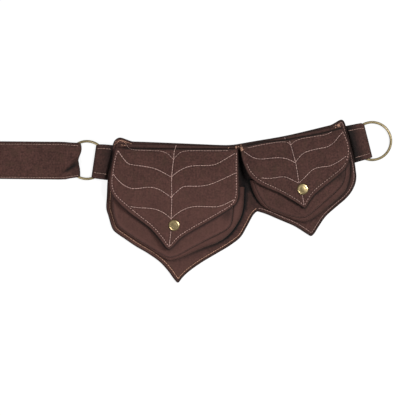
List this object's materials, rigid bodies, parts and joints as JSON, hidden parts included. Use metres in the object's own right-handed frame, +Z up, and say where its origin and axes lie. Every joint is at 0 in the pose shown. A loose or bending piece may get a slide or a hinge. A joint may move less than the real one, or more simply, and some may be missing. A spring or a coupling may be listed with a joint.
{
  "type": "pocket belt",
  "caption": "Canvas hip belt lying flat, with leaf-shaped snap-flap pouches on one backing panel, ring-ended tabs and a strap end.",
  "frame": {"origin": "middle of the belt's box, on the surface it lies on", "axes": "+X along the belt towards the free ring, +Y towards the top edge of the panel, +Z up out of the surface, towards the flaps"},
  "size_m": [0.5264, 0.2134, 0.0221],
  "materials": {
    "canvas": "brushed cotton canvas, matte",
    "brass": "pale brass plate, satin",
    "antique_brass": "antique brass, satin",
    "thread": "tan sewing thread"
  },
  "bodies": {
    "belt": {"strap": "canvas", "left_tab": "canvas", "panel": "canvas", "left_gusset": "canvas", "left_pocket_front": "canvas", "left_flap": "canvas", "left_snap_cap": "antique_brass", "left_snap_stud": "antique_brass", "right_gusset": "canvas", "right_pocket_front": "canvas", "right_flap": "canvas", "right_snap_cap": "antique_brass", "right_snap_stud": "antique_brass", "right_tab": "canvas"},
    "left_ring": {"left_ring": "brass"},
    "right_ring": {"right_ring": "brass"}
  },
  "joints": [
    {"name": "left_ring_turn", "type": "hinge", "parent": "belt", "child": "left_ring", "pos_m": [-0.13925, 0.055, 0.0031], "axis": [0, 0, 1], "continuous": true},
    {"name": "right_ring_turn", "type": "hinge", "parent": "belt", "child": "right_ring", "pos_m": [0.23685, 0.08009, 0.0031], "axis": [0, 0, 1], "continuous": true}
  ]
}
